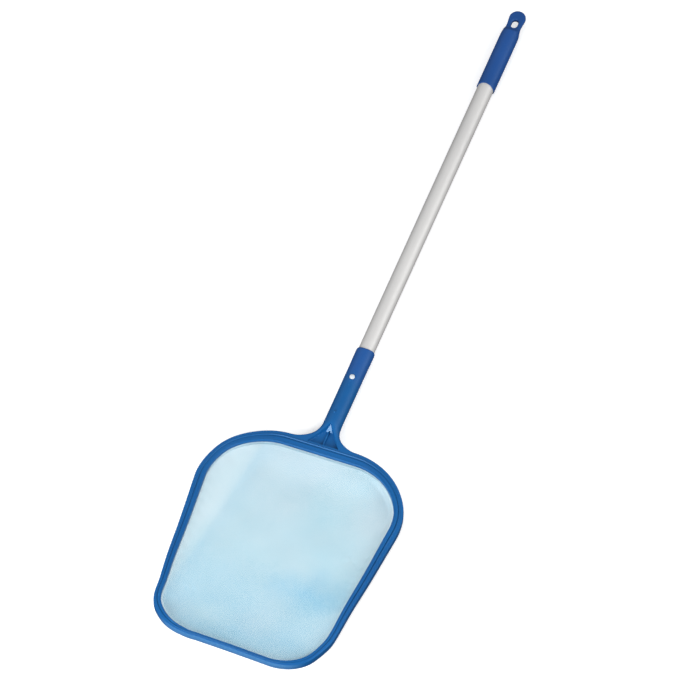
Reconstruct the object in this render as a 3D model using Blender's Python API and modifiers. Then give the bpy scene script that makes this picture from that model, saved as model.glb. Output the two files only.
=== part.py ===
"""Leaf skimmer net: a shallow net in a moulded hoop on a short aluminium pole with a hanging grip.

Metres, +Z up. The pole runs along +Y towards the grip, the open side of the net faces +Z, and the
origin is under the middle of the whole tool, on the plane it lies on.
"""

import math

import bmesh
import bpy
from mathutils import Matrix, Vector

MM = 0.001

# Driving dimensions. Places along the tool are measured from the hoop's leading edge.
GAP = 0.3 * MM
TOOL_LENGTH = 1246.5 * MM
AXIS_Z = 14.1 * MM

HOOP_HALF_HEIGHT = 6.0 * MM
LEAD_WIDTH = 7.0 * MM
SIDE_HALF_WIDTH = 133.6 * MM
SIDE_SLOPE = 0.0945
SIDE_WIDTH = 8.8 * MM
SIDE_SLOPE_LOSS = 0.0232
FAR_EDGE = 400.5 * MM
FAR_WIDTH = 20.0 * MM
LEAD_CORNER = 80 * MM
LEAD_CORNER_LOSS = 6 * MM
FAR_CORNER = 111 * MM
FAR_CORNER_LOSS = 23 * MM
LEDGE_TOP = 14.7 * MM
RING_PROUD = 0.4 * MM
HEM_SHARE = 0.6
GROOVE_SHARE = 0.045

NECK_RADIUS = 14.1 * MM
NECK_MOUTH = 581.5 * MM
NECK_ROUND_FROM = 440 * MM
NECK_ROUNDING = 3.0 * MM
SOCKET_DEPTH = 122.5 * MM
FLARE_RADIUS = 38 * MM
FLARE_END = 438.5 * MM
WEB_START = 393 * MM
WEB_SWELL_FROM = 410 * MM
WEB_STEP = 4.0 * MM
WEB_LOSS = 0.4 * MM
MOUTH_SCALLOP = 3.0 * MM
POCKET_START = 396 * MM
POCKET_HALF_WIDTH = 26 * MM
POCKET_FLOOR = 0.8 * MM
RAMP_START = 424 * MM
RAMP_HALF_WIDTH = 6.3 * MM
RAMP_END = 434 * MM
RAMP_TOP = 12.5 * MM
RIB_AT = 411 * MM
RIB_SIZE = (2.2 * MM, 32 * MM, 8 * MM)

POLE_RADIUS = 12.5 * MM
POLE_WALL = 1.0 * MM
POLE_START = NECK_MOUTH - 122 * MM
POLE_END = POLE_START + 734 * MM

GRIP_MOUTH = NECK_MOUTH + 513 * MM
GRIP_SHOULDER = GRIP_MOUTH + 107 * MM
GRIP_RADIUS = 14.1 * MM
EYE_RADIUS = 12.6 * MM
EYE_CENTRE = TOOL_LENGTH - EYE_RADIUS
EYE_WAIST = 11.3 * MM
EYE_WAIST_AT = GRIP_SHOULDER + 16 * MM
EYE_FLAT_FROM = GRIP_SHOULDER + 12 * MM
EYE_HALF_HEIGHT = 3.6 * MM
EYE_BACK_TRIM = 0.2 * MM
HANG_SLOT_WIDTH = 10 * MM
HANG_SLOT_LENGTH = 15.5 * MM
HANG_SLOT_AT = EYE_CENTRE - 12.1 * MM

BUTTON_AT = NECK_MOUTH - 58.5 * MM
BUTTON_RADIUS = 4.0 * MM
BUTTON_PROUD = 1.5 * MM
BUTTON_BASE_Z = AXIS_Z + 8.6 * MM
BUTTON_DOME = 1.2 * MM
BUTTON_FLANGE_RADIUS = 4.9 * MM
BUTTON_FLANGE = 1.0 * MM
BUTTON_HOLE_SPAN = (AXIS_Z + 5 * MM, AXIS_Z + 20 * MM)
SPRING_WIDTH = 9.0 * MM
SPRING_THICKNESS = 0.8 * MM
SPRING_LENGTH = 48 * MM
SPRING_BEND_RADIUS = 2.2 * MM
SPRING_FLOOR = AXIS_Z - 10.0 * MM

BAG_THICKNESS = 0.5 * MM
BAG_REACH = 42 * MM
BAG_FLOOR = 0.4 * MM
BAG_STEPS = 4

CORNER_STEPS = 12
ROUND_STEPS = 48

for item in list(bpy.data.objects):
    bpy.data.objects.remove(item, do_unlink=True)

TOOL = bpy.data.collections.new("leaf_skimmer_net")
CUTTERS = bpy.data.collections.new("cutters")
bpy.context.scene.collection.children.link(TOOL)
bpy.context.scene.collection.children.link(CUTTERS)


def along(distance):
    """World Y of a place that is this far from the hoop's leading edge."""
    return distance - TOOL_LENGTH / 2


def material(name, colour, roughness, metallic=0.0):
    mat = bpy.data.materials.new(name)
    mat.use_nodes = True
    shader = mat.node_tree.nodes["Principled BSDF"]
    shader.inputs["Base Color"].default_value = (*colour, 1.0)
    shader.inputs["Roughness"].default_value = roughness
    shader.inputs["Metallic"].default_value = metallic
    mat.diffuse_color = (*colour, 1.0)
    return mat


def add_object(name, bm, collection=TOOL, mat=None):
    """A mesh object from a bmesh, with its faces turned outwards."""
    bmesh.ops.recalc_face_normals(bm, faces=bm.faces)
    mesh = bpy.data.meshes.new(name)
    bm.to_mesh(mesh)
    bm.free()
    obj = bpy.data.objects.new(name, mesh)
    collection.objects.link(obj)
    if mat:
        mesh.materials.append(mat)
        mesh.shade_smooth()
        mesh.set_sharp_from_angle(angle=math.radians(30))
    else:
        obj.hide_render = True
        obj.display_type = "WIRE"
    return obj


def boolean(obj, cutter, operation="DIFFERENCE"):
    mod = obj.modifiers.new(cutter.name, "BOOLEAN")
    mod.object = cutter
    mod.operation = operation
    mod.solver = "EXACT"


def skin(bm, rings, closed_round=True):
    """Quads between rings of the same number of points, each ring a list of positions."""
    loops = [[bm.verts.new(point) for point in ring] for ring in rings]
    for first, second in zip(loops, loops[1:] + (loops[:1] if closed_round else [])):
        for i in range(len(first)):
            j = (i + 1) % len(first)
            bm.faces.new((first[i], first[j], second[j], second[i]))
    return loops


def superellipse(half_width, half_height, power, y, count=ROUND_STEPS):
    """A cross-section of the neck or grip: round at power 2, a soft rectangle above that."""
    ring = []
    for i in range(count):
        angle = 2 * math.pi * i / count
        c = math.cos(angle)
        s = math.sin(angle)
        k = (abs(c) ** power + abs(s) ** power) ** (-1 / power)
        ring.append(Vector((half_width * c * k, along(y), AXIS_Z + half_height * s * k)))
    return ring


def ease(value, start, end):
    """0 at start, 1 at end, smooth between."""
    t = min(max((value - start) / (end - start), 0.0), 1.0)
    return t * t * (3 - 2 * t)


def arc(centre, radius, start, end, count):
    steps = [start + (end - start) * i / count for i in range(count + 1)]
    return [(centre[0] + radius * math.cos(a), centre[1] + radius * math.sin(a)) for a in steps]


def hoop_outline(share, inset=0.0):
    """Plan points round the hoop, from its outer edge (share 0) to its net edge (share 1).

    A positive inset moves inwards from there. Every outline has the same number of points.
    """
    lead = LEAD_WIDTH * share + inset
    far = FAR_EDGE - FAR_WIDTH * share - inset
    slope = SIDE_SLOPE - SIDE_SLOPE_LOSS * share
    side = SIDE_HALF_WIDTH - SIDE_WIDTH * share - inset * math.hypot(1, slope)
    lean = math.atan(slope)
    lead_radius = LEAD_CORNER - LEAD_CORNER_LOSS * share - 0.8 * inset
    far_radius = FAR_CORNER - FAR_CORNER_LOSS * share - 0.8 * inset
    # The side line's distance from a corner's centre is the corner's radius.
    lead_centre_y = lead + lead_radius
    lead_centre_x = side + slope * lead_centre_y - lead_radius / math.cos(lean)
    far_centre_y = far - far_radius
    far_centre_x = side + slope * far_centre_y - far_radius / math.cos(lean)
    right = arc((lead_centre_x, lead_centre_y), lead_radius, -math.pi / 2, -lean, CORNER_STEPS)
    right += arc((far_centre_x, far_centre_y), far_radius, -lean, math.pi / 2, CORNER_STEPS + 4)
    left = [(-x, y) for x, y in reversed(right)]
    return right + left


def hoop_ring(share, z, inset=0.0):
    return [Vector((x, along(y), z)) for x, y in hoop_outline(share, inset)]


def hoop_loft(profile):
    """A closed hoop whose section is a profile of (share, height) pairs."""
    bm = bmesh.new()
    skin(bm, [hoop_ring(share, z) for share, z in profile])
    return bm


def lengthwise_cylinder(name, radius, start, end):
    """A cutter along the pole's axis between two distances from the leading edge."""
    bm = bmesh.new()
    place = Matrix.Translation((0, along((start + end) / 2), AXIS_Z))
    turn = Matrix.Rotation(math.pi / 2, 4, "X")
    bmesh.ops.create_cone(
        bm, cap_ends=True, segments=ROUND_STEPS, radius1=radius, radius2=radius,
        depth=end - start, matrix=place @ turn)
    return add_object(name, bm, CUTTERS)


def upright_cylinder(name, radius, y, bottom, top):
    bm = bmesh.new()
    place = Matrix.Translation((0, along(y), (bottom + top) / 2))
    bmesh.ops.create_cone(
        bm, cap_ends=True, segments=24, radius1=radius, radius2=radius,
        depth=top - bottom, matrix=place)
    return add_object(name, bm, CUTTERS)


def scalloped(ring, toward):
    """Draws the top and bottom of a mouth's ring back by the scallop, leaving its sides."""
    for point in ring:
        rise = abs(point.z - AXIS_Z) / NECK_RADIUS
        point.y += toward * MOUTH_SCALLOP * rise * rise
    return ring


def flare_half_width(y):
    """The plan half width of the web that joins the neck to the hoop."""
    reach = min(max(FLARE_END - y, 0.0), FLARE_RADIUS * 0.9975)
    return NECK_RADIUS + FLARE_RADIUS - math.sqrt(FLARE_RADIUS ** 2 - reach ** 2)


def make_net_frame():
    """The one-piece head: outer hoop with a ledge for the net, web with two pockets, and neck."""
    top = AXIS_Z + HOOP_HALF_HEIGHT
    bottom = AXIS_Z - HOOP_HALF_HEIGHT
    edge = 1.2 * MM
    # Outer wall, top land, the step down to the ledge, the ledge and its inner wall.
    profile = [
        (0.0, bottom + edge), (0.0, top - edge), (0.12, top), (0.5, top),
        (0.5, LEDGE_TOP), (1.0, LEDGE_TOP), (1.0, bottom), (0.12, bottom)]
    blue = material("frame_blue_plastic", (0.019, 0.130, 0.361), 0.42)
    frame = add_object("net_frame", hoop_loft(profile), mat=blue)

    web_half_height = HOOP_HALF_HEIGHT - WEB_LOSS
    # The flare is steepest beside the hoop, so the stations start close together there.
    places = [WEB_START, FAR_EDGE - 1.0 * MM, FAR_EDGE + 0.3 * MM, FAR_EDGE + 1.5 * MM]
    while places[-1] + WEB_STEP < FLARE_END:
        places.append(places[-1] + WEB_STEP)
    bm = bmesh.new()
    rings = []
    for y in places + [FLARE_END, NECK_ROUND_FROM]:
        swell = ease(y, WEB_SWELL_FROM, NECK_ROUND_FROM)
        height = web_half_height + (NECK_RADIUS - web_half_height) * swell
        rings.append(superellipse(flare_half_width(y), height, 6 - 4 * swell, y))
    for back, loss in ((NECK_ROUNDING, 0.0), (NECK_ROUNDING * 0.4, 0.25 * MM), (0.0, 0.7 * MM)):
        ring = superellipse(NECK_RADIUS - loss, NECK_RADIUS - loss, 2, NECK_MOUTH - back)
        rings.append(scalloped(ring, -1))
    loops = skin(bm, rings, closed_round=False)
    bm.faces.new(loops[0])
    bm.faces.new(loops[-1])
    neck = add_object("neck", bm, CUTTERS)
    boolean(frame, neck, "UNION")

    socket = lengthwise_cylinder(
        "socket", POLE_RADIUS + GAP, NECK_MOUTH - SOCKET_DEPTH, NECK_MOUTH + 5 * MM)
    boolean(frame, socket)
    button_hole = upright_cylinder(
        "button_hole", BUTTON_RADIUS + GAP, BUTTON_AT, *BUTTON_HOLE_SPAN)
    boolean(frame, button_hole)
    for side, name in ((1, "upper_pocket"), (-1, "lower_pocket")):
        boolean(frame, web_pocket(name, side))
    rib = bmesh.new()
    bmesh.ops.create_cube(rib, size=1.0)
    bmesh.ops.transform(
        rib, verts=rib.verts,
        matrix=Matrix.Translation((0, along(RIB_AT), AXIS_Z)) @ Matrix.Diagonal((*RIB_SIZE, 1)))
    boolean(frame, add_object("centre_rib", rib, CUTTERS), "UNION")
    return frame


def web_pocket(name, side):
    """A wedge-shaped pocket in the web: a triangle in plan with a ramp up to the neck."""
    floor = AXIS_Z + side * POCKET_FLOOR
    mouth = AXIS_Z + side * 2 * NECK_RADIUS
    ramp_top = AXIS_Z + side * RAMP_TOP
    points = []
    for x_side in (-1, 1):
        for z in (floor, mouth):
            points.append((x_side * POCKET_HALF_WIDTH, along(POCKET_START), z))
        points.append((x_side * RAMP_HALF_WIDTH, along(RAMP_START), floor))
    points += [(0, along(RAMP_END), z) for z in (ramp_top, mouth)]
    bm = bmesh.new()
    for point in points:
        bm.verts.new(point)
    hull = bmesh.ops.convex_hull(bm, input=bm.verts)
    spare = [v for v in hull["geom_interior"] if isinstance(v, bmesh.types.BMVert)]
    bmesh.ops.delete(bm, geom=spare, context="VERTS")
    return add_object(name, bm, CUTTERS)


def make_retaining_ring():
    """The inner ring pressed into the hoop's rebate, which holds the net's hem on the ledge."""
    top = AXIS_Z + HOOP_HALF_HEIGHT + RING_PROUD
    bottom = LEDGE_TOP + GAP + BAG_THICKNESS + GAP
    outer = 0.5 + GROOVE_SHARE
    profile = [
        (outer, bottom), (outer, top - 0.8 * MM), (outer + 0.07, top),
        (0.92, top), (1.0, top - 0.8 * MM), (1.0, bottom)]
    blue = material("ring_blue_plastic", (0.022, 0.127, 0.342), 0.40)
    return add_object("mesh_retaining_ring", hoop_loft(profile), mat=blue)


def make_net():
    """The net: a hem clamped under the ring, then straight slopes down to a flat floor."""
    hem_top = LEDGE_TOP + GAP + BAG_THICKNESS
    drop = hem_top - BAG_THICKNESS - BAG_FLOOR
    upper = [hoop_ring(HEM_SHARE, hem_top), hoop_ring(1.0, hem_top)]
    for i in range(1, BAG_STEPS + 1):
        u = i / BAG_STEPS
        height = hem_top - drop * u
        upper.append(hoop_ring(1.0, height, BAG_REACH * u))
    lower = [[point - Vector((0, 0, BAG_THICKNESS)) for point in ring] for ring in upper]
    bm = bmesh.new()
    loops = skin(bm, lower[::-1] + upper, closed_round=False)
    bm.faces.new(loops[0])
    bm.faces.new(loops[-1])
    mesh_blue = material("net_mesh_fabric", (0.50, 0.71, 0.83), 0.75)
    return add_object("net_mesh", bm, mat=mesh_blue)


def make_pole():
    """The aluminium tube, with one hole through its upper wall for the snap button."""
    profile = bmesh.new()
    length = POLE_END - POLE_START
    corners = [
        (POLE_RADIUS, length / 2), (POLE_RADIUS, -length / 2),
        (POLE_RADIUS - POLE_WALL, -length / 2), (POLE_RADIUS - POLE_WALL, length / 2)]
    verts = [profile.verts.new((radius, 0, z)) for radius, z in corners]
    for i in range(4):
        profile.edges.new((verts[i], verts[(i + 1) % 4]))
    mesh = bpy.data.meshes.new("pole_tube")
    profile.to_mesh(mesh)
    profile.free()
    pole = bpy.data.objects.new("pole_tube", mesh)
    TOOL.objects.link(pole)
    mesh.materials.append(material("satin_aluminium", (0.64, 0.64, 0.65), 0.35, 1.0))
    pole.location = (0, along((POLE_START + POLE_END) / 2), AXIS_Z)
    pole.rotation_euler = (-math.pi / 2, 0, 0)
    turn = pole.modifiers.new("turned", "SCREW")
    turn.axis = "Z"
    turn.steps = ROUND_STEPS
    turn.render_steps = ROUND_STEPS
    turn.use_merge_vertices = True
    turn.merge_threshold = 0.00001
    turn.use_smooth_shade = True
    hole = upright_cylinder(
        "pole_button_hole", BUTTON_RADIUS + GAP, BUTTON_AT, *BUTTON_HOLE_SPAN)
    boolean(pole, hole)
    return pole


def make_grip():
    """The hand grip: a sleeve pushed over the pole, narrowing to a flat eye with a hang slot."""
    stations = []
    places = [GRIP_MOUTH + 6 * MM, GRIP_MOUTH + 55 * MM]
    places += [GRIP_SHOULDER + i * 3 * MM for i in range(6)]
    places += [EYE_WAIST_AT + (EYE_CENTRE - EYE_WAIST_AT) * i / 4 for i in range(1, 4)]
    places += [EYE_CENTRE + EYE_RADIUS * math.sin(math.radians(a)) for a in (0, 22, 40, 56, 70)]
    for y in places:
        flatten = ease(y, GRIP_SHOULDER, EYE_FLAT_FROM)
        narrow = ease(y, GRIP_SHOULDER, EYE_WAIST_AT)
        if y <= EYE_WAIST_AT:
            width = GRIP_RADIUS + (EYE_WAIST - GRIP_RADIUS) * narrow
        elif y <= EYE_CENTRE:
            width = EYE_WAIST + (EYE_RADIUS - EYE_WAIST) * ease(y, EYE_WAIST_AT, EYE_CENTRE)
        else:
            width = math.sqrt(EYE_RADIUS ** 2 - (y - EYE_CENTRE) ** 2)
        height = GRIP_RADIUS + (EYE_HALF_HEIGHT - GRIP_RADIUS) * flatten
        end_round = 1 - 0.35 * ease(y, EYE_CENTRE + 4 * MM, TOOL_LENGTH)
        stations.append((y, width, height * end_round, 2 + 6 * flatten))
    bm = bmesh.new()
    rings = []
    for back, loss in ((0.0, 0.9 * MM), (0.4 * MM, 0.3 * MM), (1.2 * MM, 0.0)):
        ring = superellipse(GRIP_RADIUS - loss, GRIP_RADIUS - loss, 2, GRIP_MOUTH + back)
        rings.append(scalloped(ring, 1))
    rings += [superellipse(w, h, p, y) for y, w, h, p in stations]
    tip_height = EYE_HALF_HEIGHT * 0.5
    rings.append(superellipse(1.0 * MM, tip_height, 2.5, TOOL_LENGTH))
    loops = skin(bm, rings, closed_round=False)
    bm.faces.new(loops[0])
    bm.faces.new(loops[-1])
    blue = material("grip_blue_vinyl", (0.027, 0.091, 0.292), 0.5)
    grip = add_object("hand_grip", bm, mat=blue)
    bore = lengthwise_cylinder("grip_bore", POLE_RADIUS + GAP, GRIP_MOUTH - 5 * MM,
                               POLE_END + 0.5 * MM)
    boolean(grip, bore)
    boolean(grip, hang_slot())
    back = bmesh.new()
    reach = TOOL_LENGTH - EYE_WAIST_AT
    bmesh.ops.create_cube(back, size=1.0)
    bmesh.ops.transform(
        back, verts=back.verts,
        matrix=Matrix.Translation((0, along(EYE_WAIST_AT + reach / 2),
                                   AXIS_Z - EYE_HALF_HEIGHT + EYE_BACK_TRIM - reach / 2))
        @ Matrix.Diagonal((2 * reach, reach + 2 * MM, reach, 1)))
    boolean(grip, add_object("eye_back_trim", back, CUTTERS))
    return grip


def hang_slot():
    """An upright slot with round ends, longer along the tool than across it."""
    radius = HANG_SLOT_WIDTH / 2
    straight = HANG_SLOT_LENGTH / 2 - radius
    points = arc((0, straight), radius, 0, math.pi, 10)
    points += arc((0, -straight), radius, math.pi, 2 * math.pi, 10)
    bm = bmesh.new()
    rings = []
    for z in (AXIS_Z - 20 * MM, AXIS_Z + 20 * MM):
        rings.append([Vector((x, along(HANG_SLOT_AT + y), z)) for x, y in points])
    loops = skin(bm, rings, closed_round=False)
    bm.faces.new(loops[0])
    bm.faces.new(loops[-1])
    return add_object("hang_slot", bm, CUTTERS)


def make_button():
    """The snap button: a domed pin with a flange under the pole's wall."""
    top = AXIS_Z + NECK_RADIUS + BUTTON_PROUD
    flange_top = BUTTON_BASE_Z + BUTTON_FLANGE
    profile = [(0.0, top)]
    for i in range(1, 6):
        angle = math.pi / 2 * i / 5
        profile.append((BUTTON_RADIUS * math.sin(angle), top - BUTTON_DOME * (1 - math.cos(angle))))
    profile += [
        (BUTTON_RADIUS, flange_top), (BUTTON_FLANGE_RADIUS, flange_top),
        (BUTTON_FLANGE_RADIUS, BUTTON_BASE_Z), (0.0, BUTTON_BASE_Z)]
    mesh = bpy.data.meshes.new("snap_button")
    mesh.from_pydata([(r, 0, z - BUTTON_BASE_Z) for r, z in profile],
                     [(i, i + 1) for i in range(len(profile) - 1)], [])
    button = bpy.data.objects.new("snap_button", mesh)
    TOOL.objects.link(button)
    mesh.materials.append(material("button_steel", (0.72, 0.73, 0.74), 0.25, 1.0))
    button.location = (0, along(BUTTON_AT), BUTTON_BASE_Z)
    turn = button.modifiers.new("turned", "SCREW")
    turn.axis = "Z"
    turn.steps = 32
    turn.render_steps = 32
    turn.use_merge_vertices = True
    turn.merge_threshold = 0.00001
    turn.use_smooth_shade = True
    return button


def make_spring():
    """The V spring inside the pole: one leg on the tube's floor, the other under the button."""
    upper = BUTTON_BASE_Z - GAP - SPRING_THICKNESS / 2
    open_end = BUTTON_AT - 9 * MM
    bend = open_end + SPRING_LENGTH
    bend_z = SPRING_FLOOR + SPRING_BEND_RADIUS
    path = [(open_end, upper), (BUTTON_AT + 7 * MM, upper)]
    path += arc((bend, bend_z), SPRING_BEND_RADIUS, math.pi / 2, -math.pi / 2, 7)
    path.append((open_end, SPRING_FLOOR))
    bm = bmesh.new()
    rows = []
    for x in (-SPRING_WIDTH / 2, SPRING_WIDTH / 2):
        rows.append([bm.verts.new((x, along(y), z)) for y, z in path])
    for i in range(len(path) - 1):
        bm.faces.new((rows[0][i], rows[0][i + 1], rows[1][i + 1], rows[1][i]))
    mesh = bpy.data.meshes.new("button_spring")
    bm.to_mesh(mesh)
    bm.free()
    spring = bpy.data.objects.new("button_spring", mesh)
    TOOL.objects.link(spring)
    mesh.materials.append(material("spring_steel", (0.55, 0.56, 0.58), 0.3, 1.0))
    thick = spring.modifiers.new("strip", "SOLIDIFY")
    thick.thickness = SPRING_THICKNESS
    thick.offset = 0.0
    return spring


make_net_frame()
make_retaining_ring()
make_net()
make_pole()
make_grip()
make_button()
make_spring()
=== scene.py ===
"""Leaf skimmer net: the detailed model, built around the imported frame."""

import math

import bmesh
import bpy
import numpy as np
from mathutils import Matrix, Vector
from mathutils.geometry import delaunay_2d_cdt


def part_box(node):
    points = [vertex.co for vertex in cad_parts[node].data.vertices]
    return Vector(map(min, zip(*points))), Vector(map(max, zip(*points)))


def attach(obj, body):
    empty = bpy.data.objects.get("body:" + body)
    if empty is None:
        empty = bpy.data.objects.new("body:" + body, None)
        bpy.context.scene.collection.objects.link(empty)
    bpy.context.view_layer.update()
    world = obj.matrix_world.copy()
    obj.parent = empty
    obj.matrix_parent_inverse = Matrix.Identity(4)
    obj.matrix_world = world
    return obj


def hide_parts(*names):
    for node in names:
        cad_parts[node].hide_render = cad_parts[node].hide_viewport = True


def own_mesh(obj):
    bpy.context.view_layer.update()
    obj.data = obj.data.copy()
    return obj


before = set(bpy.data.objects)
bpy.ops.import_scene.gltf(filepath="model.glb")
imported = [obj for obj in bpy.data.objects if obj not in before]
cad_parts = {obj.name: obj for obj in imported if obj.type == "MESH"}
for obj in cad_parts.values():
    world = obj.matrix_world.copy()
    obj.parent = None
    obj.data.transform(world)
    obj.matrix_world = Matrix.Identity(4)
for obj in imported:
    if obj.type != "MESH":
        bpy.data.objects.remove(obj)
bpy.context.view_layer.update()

MM = 0.001

# Places from the frame. The tool lies along Y, and LEAD is the hoop's leading edge.
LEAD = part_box("net_frame")[0].y
NECK_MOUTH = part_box("net_frame")[1].y - LEAD
POLE_LOW, POLE_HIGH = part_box("pole_tube")
AXIS_Z = (POLE_LOW.z + POLE_HIGH.z) / 2
POLE_RADIUS = (POLE_HIGH.x - POLE_LOW.x) / 2
GRIP_LOW, GRIP_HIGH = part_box("hand_grip")
BUTTON_LOW, BUTTON_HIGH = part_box("snap_button")
SPRING_LOW, SPRING_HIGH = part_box("button_spring")
BUTTON_AT = (BUTTON_LOW.y + BUTTON_HIGH.y) / 2
FLANGE_RADIUS = (BUTTON_HIGH.x - BUTTON_LOW.x) / 2
PIN_RADIUS = FLANGE_RADIUS - 0.9 * MM
TOOL_END = GRIP_HIGH.y - LEAD

# The hoop's plan, from the leading edge. A share runs from its outer edge (0) to its net edge (1).
HOOP_HALF_HEIGHT = 6.0 * MM
LEAD_WIDTH = 7.0 * MM
SIDE_HALF_WIDTH = 133.6 * MM
SIDE_SLOPE = 0.0945
SIDE_WIDTH = 8.8 * MM
SIDE_SLOPE_LOSS = 0.0232
FAR_EDGE = 400.5 * MM
FAR_WIDTH = 20.0 * MM
LEAD_CORNER = 80 * MM
LEAD_CORNER_LOSS = 6 * MM
FAR_CORNER = 111 * MM
FAR_CORNER_LOSS = 23 * MM
CORNER_TIGHTENING = 0.8
LEDGE_TOP = 14.7 * MM
LEDGE_EDGE = 0.97
REBATE_WALL = 0.5
RING_OUTER = 0.545
RING_TOP = AXIS_Z + HOOP_HALF_HEIGHT + 0.4 * MM
RING_BOTTOM = 15.8 * MM

# The bead round the rebate: a soft rise and a steep inner flank. Shares, and heights above the land.
BEAD_HEIGHT = 0.95 * MM
BEAD = tuple((0.325 + 0.015 * i, BEAD_HEIGHT * math.sin(math.pi * i / 10) ** 2) for i in range(6))
BEAD += ((0.406, 0.93 * MM), (0.412, 0.84 * MM), (0.442, 0.11 * MM), (0.448, 0.03 * MM), (0.456, 0.0))

# The web and the neck.
NECK_RADIUS = 14.1 * MM
FLARE_RADIUS = 38 * MM
NECK_CUT = 446 * MM
NECK_BELL, BELL_START, BELL_FULL = 0.35 * MM, 45 * MM, 12 * MM
LIP_LENGTH = 2.4 * MM
LIP_ROUND = 0.95 * MM
EDGE_RADIUS = 1.2 * MM
SWELL = (410 * MM, 438.5 * MM)
EDGE_SWELL = (402 * MM, 438.5 * MM)
MOUTH_SCALLOP = 3.0 * MM
CLEARANCE = 0.3 * MM
END_GAP = 0.5 * MM

# The web's wedge-shaped pocket, along the tool and across it, and its centre rib.
POCKET_NEAR, POCKET_NEAR_OUTSIDE = 397.2 * MM, 394.9 * MM
POCKET_FAR = 424 * MM
POCKET_HALF_WIDTHS = (26 * MM, 6.3 * MM)
POCKET_DRAFT = (0.93, 1.12)
POCKET_FLOOR = 0.8 * MM
POCKET_OUTSIDE = 30 * MM
RAMP_FOOT, RAMP_FOOT_HEIGHT = 434 * MM, 12.5 * MM
RAMP_TOP = 436 * MM
RIB_SIZE = (2.0 * MM, 30 * MM, 8 * MM)
RIB_AT = 409 * MM

# Small moulded pips: x, distance from the leading edge, height of the skin there, radius.
PIPS = (
    (-2.4 * MM, 393.4 * MM, AXIS_Z + HOOP_HALF_HEIGHT, 1.7 * MM),
    (-2.2 * MM, 454.2 * MM, AXIS_Z + 13.9 * MM, 1.9 * MM))
PIP_SUNK = 0.1 * MM
PIP_STRETCH = 1.15

# How many columns each stretch of the half outline has.
LEAD_STEPS = 14
LEAD_CORNER_STEPS = 30
SIDE_STEPS = 40
FAR_CORNER_STEPS = 40
FLARE_STEPS = 34
NECK_SIDE_STEPS = 4
NECK_QUARTER_STEPS = 18
WEB_STEPS = FLARE_STEPS + NECK_SIDE_STEPS + NECK_QUARTER_STEPS
CROWN_ROWS = 22
SHARP_DEGREES = 38
WELD = 2e-6

COLLECTION = bpy.context.scene.collection


def ease(value, start, end):
    """0 at start, 1 at end, smooth between. Takes numbers or arrays."""
    t = np.clip((np.asarray(value, float) - start) / (end - start), 0.0, 1.0)
    return t * t * (3 - 2 * t)


def arc(centre, radius, start, end, count):
    """Points of an arc, without its last one."""
    a = start + (end - start) * np.arange(count) / count
    return np.stack([centre[0] + radius * np.cos(a), centre[1] + radius * np.sin(a)], 1)


def line(start, end, count):
    """Points of a straight stretch, without its last one."""
    t = np.arange(count)[:, None] / count
    return np.array(start) * (1 - t) + np.array(end) * t


def hoop_circles(share, inset=0.0):
    """The two corner circles and the side's lean, for an outline at this share and inset."""
    lead = LEAD_WIDTH * share + inset
    far = FAR_EDGE - FAR_WIDTH * share - inset
    slope = SIDE_SLOPE - SIDE_SLOPE_LOSS * share
    side = SIDE_HALF_WIDTH - SIDE_WIDTH * share - inset * math.hypot(1, slope)
    lean = math.atan(slope)
    lead_radius = LEAD_CORNER - LEAD_CORNER_LOSS * share - CORNER_TIGHTENING * inset
    far_radius = FAR_CORNER - FAR_CORNER_LOSS * share - CORNER_TIGHTENING * inset
    lead_y = lead + lead_radius
    far_y = far - far_radius
    lead_x = side + slope * lead_y - lead_radius / math.cos(lean)
    far_x = side + slope * far_y - far_radius / math.cos(lean)
    return (lead_x, lead_y), lead_radius, (far_x, far_y), far_radius, lean


def rim_half(share, inset=0.0, far_angle=math.pi / 2):
    """The half outline from the middle of the leading edge to the end of the far corner."""
    lead_c, lead_r, far_c, far_r, lean = hoop_circles(share, inset)
    lead_end = (lead_c[0] + lead_r * math.cos(lean), lead_c[1] - lead_r * math.sin(lean))
    far_start = (far_c[0] + far_r * math.cos(lean), far_c[1] - far_r * math.sin(lean))
    return np.concatenate([
        line((0, lead_c[1] - lead_r), (lead_c[0], lead_c[1] - lead_r), LEAD_STEPS),
        arc(lead_c, lead_r, -math.pi / 2, -lean, LEAD_CORNER_STEPS),
        line(lead_end, far_start, SIDE_STEPS),
        arc(far_c, far_r, -lean, far_angle, FAR_CORNER_STEPS)])


def flare_circle():
    """Centre of the flare's arc, which touches both the far corner's arc and the neck's side."""
    _, _, far_c, far_r, _ = hoop_circles(0.0)
    x = NECK_RADIUS + FLARE_RADIUS
    y = far_c[1] + math.sqrt((far_r + FLARE_RADIUS) ** 2 - (x - far_c[0]) ** 2)
    return np.array((x, y)), math.atan2(y - far_c[1], x - far_c[0])


FLARE_CENTRE, FLARE_ANGLE = flare_circle()


def outer_half():
    """The head's outer half outline: rim, flare, neck side, and the cut across the neck."""
    quarter = np.linspace(0, math.pi / 2, NECK_QUARTER_STEPS + 1)
    cut = np.stack([NECK_RADIUS * np.cos(quarter), np.full(len(quarter), NECK_CUT)], 1)
    return np.concatenate([
        rim_half(0.0, far_angle=FLARE_ANGLE),
        arc(FLARE_CENTRE, FLARE_RADIUS, FLARE_ANGLE + math.pi, math.pi, FLARE_STEPS),
        line((NECK_RADIUS, FLARE_CENTRE[1]), (NECK_RADIUS, NECK_CUT), NECK_SIDE_STEPS),
        cut])


def closed_half(share, inset=0.0, far_steps=24):
    """The half outline at a share and inset, closed along the far edge to x = 0."""
    far_c, far_r = hoop_circles(share, inset)[2:4]
    x = far_c[0] * (1 - np.arange(far_steps + 1) / far_steps)
    far = np.full(far_steps + 1, far_c[1] + far_r)
    return np.concatenate([rim_half(share, inset), np.stack([x, far], 1)])


def inner_half(share):
    """The half outline at a share, with as many points as outer_half()."""
    return closed_half(share, far_steps=WEB_STEPS)


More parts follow.
